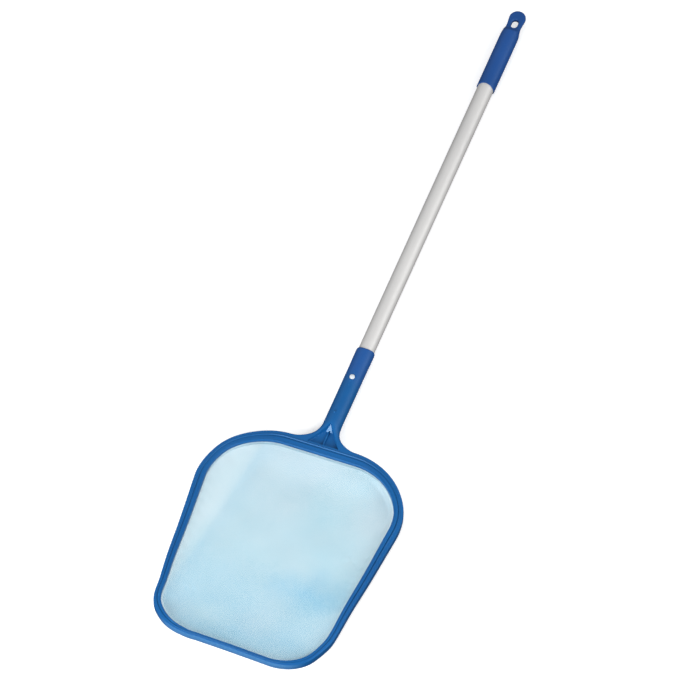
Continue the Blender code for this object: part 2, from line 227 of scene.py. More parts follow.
def crown(y, inset):
    """How far the head's skin stands above and below the pole's axis."""
    height = HOOP_HALF_HEIGHT + (NECK_RADIUS - HOOP_HALF_HEIGHT) * ease(y, *SWELL)
    edge = EDGE_RADIUS + (NECK_RADIUS - EDGE_RADIUS) * ease(y, *EDGE_SWELL)
    fall = np.clip(edge - inset, 0, edge)
    return height - edge + np.sqrt(edge ** 2 - fall ** 2)


def web_inset(x, y):
    """Distance from the flare's arc, or from the neck's side beyond it."""
    flare = np.hypot(x - FLARE_CENTRE[0], y - FLARE_CENTRE[1]) - FLARE_RADIUS
    return np.clip(np.where(y < FLARE_CENTRE[1], flare, NECK_RADIUS - x), 0, None)


def crown_rows(outer, inner, side):
    """Rows of the head's skin from the outer outline to an inner one, on side +1 or -1."""
    rim = len(outer) - (WEB_STEPS + 1)
    rows = []
    for i in range(CROWN_ROWS + 1):
        t = (i / CROWN_ROWS) ** 2
        p = outer * (1 - t) + inner * t
        inset = np.hypot(*(p - outer).T)
        inset[rim:] = web_inset(p[rim:, 0], p[rim:, 1])
        z = AXIS_Z + side * crown(p[:, 1], inset)
        rows.append(np.column_stack([p, z]))
    return rows


def mirrored(half):
    """The whole closed outline from its right half, whose two ends lie on x = 0."""
    left = half[1:-1][::-1] * np.array((-1, 1, 1))
    return np.concatenate([half, left])


# The hoop isn't quite true: how far its leading edge is set back at places across it, in mm.
SET_BACK = (
    (-128, 0.0), (-112, 1.5), (-96, 4.4), (-80, 6.9), (-55, 7.9),
    (0, 5.8), (60, 2.6), (100, 0.4), (150, 0.0))
SET_BACK_FADE = (12 * MM, 95 * MM)

# Where else it isn't true: the axis it moves along (0 is x), how far in mm, whether both sides do so,
# and the bump's place and reach in mm.
WARPS = (
    (0, -3.4, True, (132, 48), (17, 27)), (0, -1.8, True, (145, 128), (60, 50)),
    (0, 1.2, True, (155, 325), (25, 28)), (1, -1.5, False, (-108, 385), (36, 34)))


def bulge(x, y, at, reach):
    """A smooth bump around a place, 1 at its middle. The place and the reach are in mm."""
    return np.exp(-((x / MM - at[0]) / reach[0]) ** 2 - ((y / MM - at[1]) / reach[1]) ** 2)


def skewed(points):
    """Places on the hoop or the net, moved to where the untrue hoop has them."""
    p = np.array(points, float)
    table = np.array(SET_BACK) * MM
    fade = 1 - ease(p[:, 1], *SET_BACK_FADE)
    p[:, 1] += fade * np.interp(p[:, 0], table[:, 0], table[:, 1])
    for axis, shift, both_sides, at, reach in WARPS:
        x = np.abs(p[:, 0]) if both_sides else p[:, 0]
        p[:, axis] += shift * MM * bulge(x, p[:, 1], at, reach)
    return p


def placed(points):
    """From distances along the tool to world places."""
    return [Vector((p[0], p[1] + LEAD, p[2])) for p in skewed(points)]


def flat_ring(half, z):
    """A half outline at one height."""
    return np.column_stack([half, np.full(len(half), z)])


def bridge(bm, first, second, skip=()):
    """Quads between two closed rows of vertices."""
    count = len(first)
    for i in range(count):
        j = (i + 1) % count
        if i not in skip:
            bm.faces.new((first[i], first[j], second[j], second[i]))


def loft(bm, rows, joined=False, capped=False, skip=()):
    """A skin over rows of vertices. The last row can join the first, or both ends can be capped."""
    for first, second in zip(rows, rows[1:] + rows[:1] if joined else rows[1:]):
        bridge(bm, first, second, skip)
    if capped:
        bm.faces.new(rows[0])
        bm.faces.new(rows[-1])


def row_verts(bm, points):
    """Vertices for one row, given by distances along the tool."""
    return [bm.verts.new(p) for p in placed(points)]


def button_circle(bm, radius, z, count):
    """A ring of vertices round the snap button's axis."""
    turns = 2 * math.pi * np.arange(count) / count
    return [bm.verts.new((radius * math.cos(t), BUTTON_AT + radius * math.sin(t), z)) for t in turns]


def linked(name, bm):
    """A new object in the scene, from a bmesh."""
    mesh = bpy.data.meshes.new(name)
    bm.to_mesh(mesh)
    bm.free()
    obj = bpy.data.objects.new(name, mesh)
    COLLECTION.objects.link(obj)
    return obj


def finished(name, bm, material, sharp_degrees=SHARP_DEGREES):
    """An object from a bmesh: welded, turned outwards, shaded smooth except at its sharp edges."""
    bmesh.ops.remove_doubles(bm, verts=bm.verts, dist=WELD)
    bmesh.ops.recalc_face_normals(bm, faces=bm.faces)
    obj = linked(name, bm)
    obj.data.materials.append(material)
    obj.data.shade_smooth()
    obj.data.set_sharp_from_angle(angle=math.radians(sharp_degrees))
    return obj


def combine(obj, bm, operation):
    """Cuts or joins a closed bmesh into an object, and applies the result."""
    bmesh.ops.recalc_face_normals(bm, faces=bm.faces)
    tool = linked("tool", bm)
    tool.data.shade_smooth()
    mod = obj.modifiers.new("tool", "BOOLEAN")
    mod.object = tool
    mod.operation = operation
    mod.solver = "EXACT"
    bpy.context.view_layer.update()
    made = bpy.data.meshes.new_from_object(obj.evaluated_get(bpy.context.evaluated_depsgraph_get()))
    obj.modifiers.clear()
    old = obj.data
    obj.data = made
    made.name = old.name
    bpy.data.meshes.remove(old)
    bpy.data.objects.remove(tool)
    made.shade_smooth()
    made.set_sharp_from_angle(angle=math.radians(SHARP_DEGREES))
    return obj


def circle_ring(half_width, half_height, y, count, power=2.0):
    """A section across the tool: a circle, an oval or a soft rectangle."""
    a = 2 * math.pi * np.arange(count) / count
    c, s = np.cos(a), np.sin(a)
    k = (np.abs(c) ** power + np.abs(s) ** power) ** (-1 / power)
    return np.column_stack([half_width * c * k, np.full(count, y), AXIS_Z + half_height * s * k])


def scalloped(ring, toward):
    """Draws the top and bottom of a mouth's ring back, leaving its sides."""
    rise = np.abs(ring[:, 2] - AXIS_Z) / NECK_RADIUS
    ring[:, 1] += toward * MOUTH_SCALLOP * rise ** 2
    return ring


# --------------------
# Materials


class Nodes:
    """A short way to write a node material around one Principled shader."""

    def __init__(self, name):
        self.mat = bpy.data.materials.new(name)
        self.mat.use_nodes = True
        self.tree = self.mat.node_tree
        self.shader = self.tree.nodes["Principled BSDF"]
        self.object = self.add("ShaderNodeTexCoord").outputs["Object"]

    def add(self, kind, **settings):
        node = self.tree.nodes.new(kind)
        for key, value in settings.items():
            setattr(node, key, value)
        return node

    def link(self, a, b):
        self.tree.links.new(a, b)

    def feed(self, socket, value):
        """Sets a socket to a number or a colour, or links it."""
        if isinstance(value, (int, float)):
            socket.default_value = value
        elif isinstance(value, tuple):
            socket.default_value = (*value, 1.0)
        else:
            self.link(value, socket)

    def shade(self, **values):
        """Feeds the shader's sockets by name."""
        for key, value in values.items():
            self.feed(self.shader.inputs[key.replace("_", " ")], value)

    def parts(self, vector):
        """The X, Y and Z sockets of a vector."""
        node = self.add("ShaderNodeSeparateXYZ")
        self.link(vector, node.inputs[0])
        return node.outputs["X"], node.outputs["Y"], node.outputs["Z"]

    def math(self, operation, *values, clamp=False):
        node = self.add("ShaderNodeMath", operation=operation, use_clamp=clamp)
        for socket, value in zip(node.inputs, values):
            self.feed(socket, value)
        return node.outputs[0]

    def scaled(self, stretch):
        node = self.add("ShaderNodeMapping")
        node.inputs["Scale"].default_value = stretch
        self.link(self.object, node.inputs["Vector"])
        return node.outputs["Vector"]

    def noise(self, scale, detail=3.0, rough=0.55, vector=None, distortion=0.0):
        node = self.add("ShaderNodeTexNoise")
        node.inputs["Scale"].default_value = scale
        node.inputs["Detail"].default_value = detail
        node.inputs["Roughness"].default_value = rough
        node.inputs["Distortion"].default_value = distortion
        self.link(vector or self.object, node.inputs["Vector"])
        return node.outputs["Fac"]

    def spread(self, value, low, high, out_low=0.0, out_high=1.0):
        node = self.add("ShaderNodeMapRange", clamp=True)
        limits = {"From Min": low, "From Max": high, "To Min": out_low, "To Max": out_high}
        for name, number in limits.items():
            node.inputs[name].default_value = number
        self.link(value, node.inputs["Value"])
        return node.outputs["Result"]

    def blend(self, amount, first, second):
        node = self.add("ShaderNodeMix", data_type="RGBA")
        self.link(amount, node.inputs["Factor"])
        for name, value in (("A", first), ("B", second)):
            self.feed(next(s for s in node.inputs if s.name == name and s.type == "RGBA"), value)
        return next(s for s in node.outputs if s.type == "RGBA")

    def bump(self, height, distance, strength=1.0, normal=None):
        node = self.add("ShaderNodeBump")
        node.inputs["Distance"].default_value = distance
        node.inputs["Strength"].default_value = strength
        self.link(height, node.inputs["Height"])
        if normal is not None:
            self.link(normal, node.inputs["Normal"])
        return node.outputs["Normal"]


# Deep, middle and rubbed colours of the two blue plastics, then the head's own tints, among them the
# painted highlight of the leading wall.
FRAME_BLUES = (0.0035, 0.077, 0.250), (0.0050, 0.090, 0.282), (0.03, 0.19, 0.44)
GRIP_BLUES = (0.009, 0.058, 0.232), (0.012, 0.067, 0.262), (0.04, 0.12, 0.36)
MOUTH_BLUE = (0.014, 0.073, 0.275)
MOUTH_TINT_START, MOUTH_TINT_FULL = 75 * MM, 40 * MM
# The paler blue painted on the leading wall as a highlight.
LEAD_PAINTED_HIGHLIGHT = (0.066, 0.200, 0.425)
RAMP_GLINT = (0.0, LEAD + 428.5 * MM, AXIS_Z + 6 * MM)
PLASTIC_SHEEN = (0.60, 0.86, 1.0)
BUTTON_STEEL = (0.86, 0.92, 0.98)
SPRING_STEEL = (0.52, 0.52, 0.53)


def moulded_plastic(name, blues, rough, grain, head=False):
    """Moulded polypropylene: slow colour drift, rubbed edges, fine grain and faint scuffs; on the head, a
    painted highlight on the leading wall.
    """
    n = Nodes(name)
    deep, mid, pale = blues
    drift = n.noise(9.0, 4.0, 0.5)
    colour = n.blend(n.spread(drift, 0.35, 0.65), deep, mid)
    if head:
        colour = mouth_tint(n, colour, drift)
    wear = n.add("ShaderNodeNewGeometry").outputs["Pointiness"]
    patchy = n.spread(n.noise(140.0, 3.0, 0.6), 0.40, 0.70)
    edge = n.math("MULTIPLY", n.spread(wear, 0.52, 0.60, 0.0, 0.45), patchy, clamp=True)
    colour = n.blend(edge, colour, pale)
    scuff = n.noise(55.0, 5.0, 0.65, n.scaled((6.0, 0.7, 6.0)), 0.4)
    gloss = n.spread(scuff, 0.30, 0.75, rough - 0.05, rough + 0.10)
    if head:
        # Painted highlight on the front-facing leading wall.
        colour = painted_lead_highlight(n, colour, scuff)
        gloss = n.math("MULTIPLY", gloss, ramp_polish(n))
    waves = n.bump(n.noise(38.0, 2.0, 0.5), 0.00022, 0.5)
    grained = n.bump(n.noise(grain, 3.0, 0.6), 0.00004, 0.55, waves)
    n.shade(Base_Color=colour, Roughness=gloss, Normal=grained)
    n.shade(IOR=1.49, Specular_IOR_Level=0.39, Specular_Tint=PLASTIC_SHEEN)
    return n.mat


def mouth_tint(n, colour, drift):
    """The neck turns a little more violet towards its mouth."""
    y = n.parts(n.object)[1]
    near = n.math("ADD", y, n.spread(drift, 0.3, 0.7, -12 * MM, 12 * MM))
    end = NECK_MOUTH + LEAD
    amount = n.spread(near, end - MOUTH_TINT_START, end - MOUTH_TINT_FULL, 0.0, 0.8)
    return n.blend(amount, colour, MOUTH_BLUE)


def painted_lead_highlight(n, colour, scuff):
    """Painted highlight: the hoop's leading wall, where it faces the front, is painted paler in patches."""
    facing = n.parts(n.add("ShaderNodeNewGeometry").outputs["Normal"])[1]
    y, z = n.parts(n.object)[1:]
    front = n.spread(facing, -0.97, -0.70, 1.0, 0.0)
    near = n.spread(y, LEAD + 16 * MM, LEAD + 50 * MM, 1.0, 0.0)
    below = n.spread(z, AXIS_Z + 4.8 * MM, AXIS_Z + 5.9 * MM, 1.0, 0.0)
    patchy = n.spread(scuff, 0.30, 0.70, 0.45, 1.0)
    amount = n.math("MULTIPLY", n.math("MULTIPLY", front, near), n.math("MULTIPLY", patchy, below))
    return n.blend(amount, colour, LEAD_PAINTED_HIGHLIGHT)


def ramp_polish(n):
    """A factor for the roughness: the web's ramp is polished in the mould."""
    away = n.add("ShaderNodeVectorMath", operation="DISTANCE")
    n.link(n.object, away.inputs[0])
    away.inputs[1].default_value = RAMP_GLINT
    return n.spread(away.outputs["Value"], 7.5 * MM, 9.5 * MM, 0.46, 1.0)


def satin_aluminium():
    """Drawn and lightly anodised tube: lengthwise die lines, soft cloudiness and a few rubs."""
    n = Nodes("satin_aluminium_tube")
    lines = n.noise(1.0, 4.0, 0.6, n.scaled((900.0, 4.0, 900.0)))
    cloud = n.noise(16.0, 4.0, 0.55, n.scaled((1.0, 0.35, 1.0)))
    colour = n.blend(n.spread(cloud, 0.3, 0.7), (0.635, 0.625, 0.615), (0.685, 0.675, 0.660))
    colour = n.blend(n.spread(lines, 0.35, 0.75, 0.0, 0.35), colour, (0.56, 0.555, 0.55))
    rub = n.noise(30.0, 4.0, 0.7, n.scaled((1.0, 3.0, 1.0)), 0.6)
    both = n.math("ADD", n.spread(lines, 0.3, 0.7, 0.50, 0.58), n.spread(rub, 0.55, 0.75, 0.0, 0.07))
    n.shade(Base_Color=colour, Roughness=both, Normal=n.bump(lines, 0.000015, 0.8), Metallic=0.38)
    return n.mat


def polished_steel(name, colour, rough, streak, metallic=1.0):
    """Bright steel with fine streaks. The scales of a streak say which way it runs."""
    n = Nodes(name)
    lines = n.noise(1.0, 3.0, 0.6, n.scaled(streak))
    tone = n.blend(n.spread(lines, 0.3, 0.7), colour, tuple(c * 0.86 for c in colour))
    gloss = n.spread(lines, 0.3, 0.7, rough, rough + 0.10)
    n.shade(Base_Color=tone, Roughness=gloss, Normal=n.bump(lines, 0.00001, 0.6), Metallic=metallic)
    return n.mat


WEAVE_PITCH = 1.05 * MM
THREAD_SHARE = 0.225
SHARE_DRIFT = 0.025
THREAD_WANDER = 0.9 * MM
WEFT_OFFSET = 0.25


def thread_wave(n, coordinate, offset):
    """Distance from a thread's middle as a share of the pitch, 0 on it and 0.5 between threads."""
    part = n.math("FRACT", n.math("ADD", n.math("DIVIDE", coordinate, WEAVE_PITCH), offset))
    return n.math("ABSOLUTE", n.math("SUBTRACT", part, 0.5))


def thread_height(n, thread, away):
    """The rounded top of a thread, falling away from its middle."""
    return n.math("MULTIPLY", thread, n.math("SUBTRACT", 1.0, n.math("MULTIPLY", away, 2.2)))


def woven_net():
    """Fine plain-woven nylon: crossing threads over open holes, with uneven tension and uneven colour, into
    which shade and highlight at the folds are painted.
    """
    n = Nodes("pale_blue_net")
    wobble = n.add("ShaderNodeTexNoise")
    wobble.inputs["Scale"].default_value = 45.0
    wobble.inputs["Detail"].default_value = 2.0
    n.link(n.object, wobble.inputs["Vector"])
    shift = n.add("ShaderNodeVectorMath", operation="MULTIPLY_ADD")
    n.link(wobble.outputs["Color"], shift.inputs[0])
    shift.inputs[1].default_value = (THREAD_WANDER, THREAD_WANDER, 0.0)
    n.link(n.object, shift.inputs[2])
    x, y, _ = n.parts(shift.outputs[0])
    across = thread_wave(n, x, 0.0)
    along = thread_wave(n, y, WEFT_OFFSET)
    tension = n.spread(
        n.noise(11.0, 3.0, 0.5), 0.3, 0.7, THREAD_SHARE - SHARE_DRIFT, THREAD_SHARE + SHARE_DRIFT)
    warp = n.math("LESS_THAN", across, tension)
    weft = n.math("LESS_THAN", along, tension)
    # Which thread is on top alternates like a chessboard; the rounded top one gives the height.
    row = n.math("FLOOR", n.math("ADD", n.math("DIVIDE", y, WEAVE_PITCH), WEFT_OFFSET))
    column = n.math("FLOOR", n.math("DIVIDE", x, WEAVE_PITCH))
    parity = n.math("FRACT", n.math("MULTIPLY", n.math("ADD", row, column), 0.5))
    over = n.math("GREATER_THAN", n.math("ABSOLUTE", parity), 0.25)
    warp_height = thread_height(n, warp, across)
    weft_height = thread_height(n, weft, along)
    lift = n.math("ADD", warp_height, n.math("MULTIPLY", over, 0.35))
    height = n.math("MAXIMUM", lift, weft_height)
    fibre = n.spread(n.noise(2600.0, 2.0, 0.6), 0.3, 0.7, 0.0, 0.25)
    n.shade(
        Base_Color=n.blend(fibre, net_tone(n), NET_FIBRE), Roughness=n.spread(fibre, 0.0, 0.25, 0.55, 0.70),
        Alpha=n.math("MAXIMUM", warp, weft), Normal=n.bump(height, 0.00018, 0.7), IOR=1.53)
    return n.mat


NET_MIDDLE = (0.285, 0.535, 0.640)
NET_FAR_PALER = (0.360, 0.545, 0.640)
NET_PAINTED_LIGHT = (0.470, 0.650, 0.722)
NET_BLUE = (0.165, 0.445, 0.615)
NET_CYAN = (0.010, 0.355, 0.570)
NET_AT_RIM = (0.66, 0.84, 0.90)
NET_FIBRE = (0.56, 0.74, 0.80)

# Patches in the net's colour: place and reach in mm, how strong, and the colour. The first, cyan one is
# painted shade where the net sags lowest.
PATCHES = (
    ((66, 146), (58, 44), 1.00, NET_CYAN),
    ((-20, 40), (60, 30), 0.30, NET_CYAN),
    ((78, 46), (38, 24), 0.35, NET_CYAN),
    ((-52, 62), (42, 26), 0.55, NET_MIDDLE),
    ((60, 305), (55, 85), 1.00, NET_MIDDLE))


def net_tone(n):
    """The net's colour: paler at the far end, bluer towards the front, patchy, and paler at the rim.
    Painted shade: a cyan patch where the net sags lowest and a blue band just right of the taut fold.
    Painted highlight: paler left of the fold.
    """
    x, y, _ = n.parts(n.object)
    cloud = n.noise(8.0, 4.0, 0.55)

    def patch(at, reach):
        dx = n.math("MULTIPLY", n.math("SUBTRACT", x, at[0] * MM), 1 / (reach[0] * MM))
        dy = n.math("MULTIPLY", n.math("SUBTRACT", y, at[1] * MM + LEAD), 1 / (reach[1] * MM))
        away = n.math("SQRT", n.math("ADD", n.math("MULTIPLY", dx, dx), n.math("MULTIPLY", dy, dy)))
        ragged = n.math("ADD", away, n.spread(cloud, 0.3, 0.7, -0.35, 0.35))
        return n.spread(ragged, 0.35, 1.15, 1.0, 0.0)

    wander = n.math("ADD", y, n.spread(cloud, 0.3, 0.7, -0.03, 0.03))
    tone = n.blend(n.spread(wander, LEAD + 0.20, LEAD + 0.36), NET_MIDDLE, NET_FAR_PALER)
    tone = n.blend(n.spread(wander, LEAD + 0.05, LEAD + 0.20, 0.80, 0.0), tone, NET_BLUE)
    for at, reach, strength, colour in PATCHES:
        tone = n.blend(n.math("MULTIPLY", patch(at, reach), strength), tone, colour)
    (far_x, far_y), (near_x, near_y) = CHORD
    lean = (near_x - far_x) / (far_y - near_y)
    chord_x = n.math("MULTIPLY_ADD", n.math("SUBTRACT", far_y * MM + LEAD, y), lean, far_x * MM)
    right_of = n.math("SUBTRACT", x, chord_x)
    # Painted shade: a blue band along the cloth just right of the taut fold.
    starts = n.spread(right_of, -2 * MM, 4 * MM)
    fades = n.spread(right_of, 6 * MM, 34 * MM, 0.30, 0.0)
    tone = n.blend(n.math("MULTIPLY", starts, fades), tone, NET_BLUE)
    # Painted highlight: the cloth left of the taut fold is painted paler.
    tone = n.blend(n.spread(right_of, -13 * MM, 6 * MM, 0.8, 0.0), tone, NET_PAINTED_LIGHT)
    rim = n.add("ShaderNodeAttribute", attribute_name="from_rim").outputs["Fac"]
    return n.blend(n.spread(rim, 0.4 * MM, 3.2 * MM, 0.85, 0.0), tone, NET_AT_RIM)


# --------------------
# The head


def make_head(material):
    """The one-piece moulding: hoop with its rebate, web and neck in one closed skin."""
    bm = bmesh.new()
    outer = outer_half()
    top = AXIS_Z + HOOP_HALF_HEIGHT
    bottom = AXIS_Z - HOOP_HALF_HEIGHT
    bevel = 0.35 * MM
    rebate = [
        (REBATE_WALL, top - bevel), (REBATE_WALL, LEDGE_TOP), (LEDGE_EDGE, LEDGE_TOP),
        (1.0, LEDGE_TOP - bevel), (1.0, bottom + 2 * bevel), (0.99, bottom + 0.5 * bevel)]
    rows = crown_rows(outer, inner_half(BEAD[0][0]), 1)
    rows += [flat_ring(inner_half(share), top + rise) for share, rise in BEAD[1:]]
    rows += [flat_ring(inner_half(share), z) for share, z in rebate]
    rows += crown_rows(outer, inner_half(0.93), -1)[::-1]
    loops = [row_verts(bm, mirrored(row)) for row in rows]
    loft(bm, loops)

    # The outer wall, with a faint parting line half way up. It is left out across the neck.
    count = len(loops[0])
    half = len(outer)
    cut = range(half - 1 - NECK_QUARTER_STEPS, half - 1 + NECK_QUARTER_STEPS)
    low, high = mirrored(rows[-1]), mirrored(rows[0])
    middle = (low + high) / 2
    wall = (high - low)[:, 2:3]
    tangent = np.roll(middle, -1, 0) - np.roll(middle, 1, 0)
    out = np.column_stack([tangent[:, 1], -tangent[:, 0], np.zeros(count)])
    out /= np.linalg.norm(out, axis=1)[:, None]
    seam = out * np.clip(wall * 0.06, 0, 0.12 * MM)
    spread = np.column_stack([np.zeros((count, 2)), wall])
    walls = [loops[-1], row_verts(bm, middle - spread * 0.03), row_verts(bm, middle + seam),
             row_verts(bm, middle + spread * 0.03), loops[0]]
    loft(bm, walls, skip=cut)
    loose = [v for v in bm.verts if not v.link_faces]
    bmesh.ops.delete(bm, geom=loose, context="VERTS")

    # The neck from the cut to its mouth, then back down the socket.
    around = 4 * NECK_QUARTER_STEPS
    rings = [circle_ring(NECK_RADIUS, NECK_RADIUS, NECK_CUT, around)]
    for i in range(1, 15):
        y = NECK_CUT + (NECK_MOUTH - 6 * MM - NECK_CUT) * i / 14
        bell = NECK_BELL * float(ease(y, NECK_MOUTH - BELL_START, NECK_MOUTH - BELL_FULL))
        rings.append(circle_ring(NECK_RADIUS + bell, NECK_RADIUS, y, around))
    for i in range(7):
        a = math.pi / 2 * i / 6
        loss = LIP_ROUND * (1 - math.cos(a))
        y = NECK_MOUTH - LIP_LENGTH * (1 - math.sin(a))
        ring = circle_ring(NECK_RADIUS + NECK_BELL - loss, NECK_RADIUS - loss, y, around)
        rings.append(scalloped(ring, -1))
    bore = POLE_RADIUS + CLEARANCE
    rings.append(scalloped(circle_ring(bore + 0.25 * MM, bore + 0.25 * MM, NECK_MOUTH, around), -1))
    rings.append(scalloped(circle_ring(bore, bore, NECK_MOUTH - 0.6 * MM, around), -1))
    rings.append(circle_ring(bore, bore, POLE_LOW.y - LEAD - END_GAP, around))
    neck = [row_verts(bm, ring) for ring in rings]
    loft(bm, neck)
    bm.faces.new(neck[-1])
    head = finished("head_moulding", bm, material)
    for side in (1, -1):
        combine(head, web_pocket(side), "DIFFERENCE")
    combine(head, centre_rib(), "UNION")
    for x, y, z, radius in PIPS:
        combine(head, pip(x, y, z, radius), "UNION")
    combine(head, button_bore(), "DIFFERENCE")
    return head


def pip(x, y, z, radius):
    """A small moulded dot, as a ball sunk into the skin."""
    bm = bmesh.new()
    stretch = Matrix.Diagonal((1, 1, PIP_STRETCH, 1))
    place = Matrix.Translation((x, y + LEAD, z - PIP_SUNK))
    bmesh.ops.create_uvsphere(bm, u_segments=20, v_segments=12, radius=radius, matrix=place @ stretch)
    return bm


def web_pocket(side):
    """A wedge-shaped pocket: a triangle in plan with drafted walls and a ramp up to the neck."""
    bm = bmesh.new()
    floor = AXIS_Z + side * POCKET_FLOOR
    outside = AXIS_Z + side * POCKET_OUTSIDE
    near_half, far_half = POCKET_HALF_WIDTHS
    points = []
    for x in (-near_half, near_half):
        points.append((x * POCKET_DRAFT[0], POCKET_NEAR, floor))
        points.append((x * POCKET_DRAFT[1], POCKET_NEAR_OUTSIDE, outside))
        points.append((math.copysign(far_half, x), POCKET_FAR, floor))
    points += [(0, RAMP_FOOT, AXIS_Z + side * RAMP_FOOT_HEIGHT), (0, RAMP_TOP, outside)]
    for x, y, z in points:
        bm.verts.new((x, y + LEAD, z))
    hull = bmesh.ops.convex_hull(bm, input=bm.verts)
    spare = [v for v in hull["geom_interior"] if isinstance(v, bmesh.types.BMVert)]
    bmesh.ops.delete(bm, geom=spare, context="VERTS")
    bmesh.ops.dissolve_limit(bm, angle_limit=0.01, verts=bm.verts, edges=bm.edges)
    bmesh.ops.bevel(bm, geom=bm.edges[:], offset=0.7 * MM, segments=3, profile=0.5, affect="EDGES")
    return bm


def centre_rib():
    """The rib along the middle of the web's pockets."""
    bm = bmesh.new()
    bmesh.ops.create_cube(bm, size=1.0)
    size = Matrix.Diagonal((*RIB_SIZE, 1))
    place = Matrix.Translation((0, RIB_AT + LEAD, AXIS_Z))
    bmesh.ops.transform(bm, verts=bm.verts, matrix=place @ size)
    bmesh.ops.bevel(bm, geom=bm.edges[:], offset=0.5 * MM, segments=3, profile=0.5, affect="EDGES")
    return bm


def button_bore():
    """The hole for the snap button, with a rounded rim at the neck's skin."""
    bm = bmesh.new()
    radius = PIN_RADIUS + CLEARANCE
    skin = AXIS_Z + NECK_RADIUS
    # Heights, and how much wider than the hole it is there, in mm.
    levels = ((skin + 5 * MM, 0.9), (skin + 0.2 * MM, 0.9), (skin - 0.25 * MM, 0.35),
              (skin - 0.8 * MM, 0.0), (AXIS_Z + 5 * MM, 0.0))
    loft(bm, [button_circle(bm, radius + more * MM, z, 40) for z, more in levels], capped=True)
    return bm


# The ring's rounded edges, and the fine bead between two grooves near its net edge: share, height in mm.
RING_OUTER_ROUND = 0.45 * MM
RING_NET_ROUND = 1.0 * MM
RING_BEAD = ((0.80, 0.0), (0.815, -0.22), (0.84, 0.10), (0.865, 0.12), (0.89, -0.22), (0.905, -0.05))


def make_ring(material):
    """The pressed-in retaining ring, with a fine bead line near its net edge."""
    profile = [(RING_OUTER, RING_BOTTOM, 0.0), (RING_OUTER, RING_TOP - RING_OUTER_ROUND, 0.0)]
    for i in range(1, 6):
        a = math.pi / 2 * i / 5
        drop = RING_OUTER_ROUND * (1 - math.sin(a))
        profile.append((RING_OUTER, RING_TOP - drop, RING_OUTER_ROUND * (1 - math.cos(a))))
    for share, z in RING_BEAD:
        profile.append((share, RING_TOP + z * MM, 0.0))
    for i in range(6):
        a = math.pi / 2 * i / 5
        drop = RING_NET_ROUND * (1 - math.cos(a))
        profile.append((1.0, RING_TOP - drop, -RING_NET_ROUND * (1 - math.sin(a))))
    profile.append((1.0, RING_BOTTOM, 0.0))
    bm = bmesh.new()
    loops = []
    for share, z, inset in profile:
        half = closed_half(share, inset)
        loops.append(row_verts(bm, mirrored(flat_ring(half, z))))
    loft(bm, loops, joined=True)
    return finished("clamp_ring", bm, material)


# --------------------
# The net

NET_PITCH = 2.6 * MM
NET_SPAN_X, NET_SPAN_Y = (-150 * MM, 150 * MM), (5 * MM, 385 * MM)
NET_CENTRE = 190 * MM
HEM_Z = 15.25 * MM
NET_FLOOR = 0.9 * MM
HELD_WIDTH = 9 * MM
GATHERS, GATHER_HEIGHT, GATHER_REACH = 47, 0.28 * MM, 8 * MM

# The folds, in mm on the net. The valley's places are (y, x), and the others are (x, y).
CHORD = ((-89, 367), (-130, 75))
CHORD_DIP = 8.6 * MM
CHORD_SLOPE = 0.4
FAR_SLOPE = 0.27
VALLEY = ((372, 44), (214, 62), (150, 58), (100, 52))
FRONT_LINE = ((-125, 128), (-52, 112), (2, 127), (58, 116), (120, 96))
SHARP_FOLD = 0.55 * MM
SOFT_FOLD = 1.7 * MM

# Slow waves in the slack: direction in degrees, length in mm, phase, and height in mm.
SLACK_WAVES = ((12, 118, 0.4, 0.55), (-38, 83, 1.9, 0.40), (61, 61, 3.1, 0.22), (5, 41, 0.8, 0.14))


def through(points, at):
    """Straight stretches through places in mm, in metres."""
    p = np.array(sorted(points)) * MM
    return np.interp(at, p[:, 0], p[:, 1])


def soft_highest(layers, softness):
    """The highest layer, with its creases rounded."""
    z = np.stack(layers)
    top = z.max(0)
    return top + softness * np.log(np.exp((z - top) / softness).sum(0)) - softness * 0.2


def chord_side(x, y):
    """How far a place is to the right of the taut fold, and how far along the fold it is."""
    far, near = np.array(CHORD) * MM
    along = (far[1] - y) / (far[1] - near[1])
    return x - (far[0] + (near[0] - far[0]) * along), along


def ripple(x, y):
    """The sum of the slow waves."""
    total = np.zeros_like(x)
    for degrees, length, phase, height in SLACK_WAVES:
        a = math.radians(degrees)
        turn = (x * math.cos(a) + y * math.sin(a)) / (length * MM)
        total += height * MM * np.sin(2 * math.pi * turn + phase)
    return total


def fold_height(x, y):
    """How high the slack net lies at a place: the highest of its sloping panels."""
    rise = HEM_Z - NET_FLOOR
    right_of, along = chord_side(x, y)
    dip = CHORD_DIP * np.sin(math.pi * np.clip(along, 0, 1)) ** 0.7
    chord_x = x - right_of
    chord_z = HEM_Z - dip
    side = SIDE_HALF_WIDTH - SIDE_WIDTH + (SIDE_SLOPE - SIDE_SLOPE_LOSS) * y
    beyond = np.maximum(right_of, 0) * CHORD_SLOPE
    left = chord_z - dip * np.minimum(right_of, 0) / np.maximum(side + chord_x, 5 * MM) - beyond
    valley_x = through(VALLEY, y)
    fall = np.clip(right_of / (valley_x - chord_x), -0.2, 1)
    floor = NET_FLOOR + (rise - CHORD_DIP) * np.clip(1 - fall, 0, 1.2) ** 1.2
    climb = np.clip((x - valley_x) / (side - valley_x), 0, 1.2)
    right = NET_FLOOR + rise * (0.45 * climb + 0.55 * climb ** 3)
    front_y = through(FRONT_LINE, x)
    lean = np.clip((front_y - y) / (front_y - LEAD_WIDTH), 0, 1.2)
    front = NET_FLOOR + rise * (0.62 * lean + 0.38 * lean ** 2)
    far = HEM_Z - (FAR_EDGE - FAR_WIDTH - y) * FAR_SLOPE
    low = soft_highest([floor, right, front, far], SOFT_FOLD)
    z = soft_highest([left, low], SHARP_FOLD)
    slack = np.clip((HEM_Z - z) / (6 * MM), 0, 1)
    return z + slack * ripple(x, y)


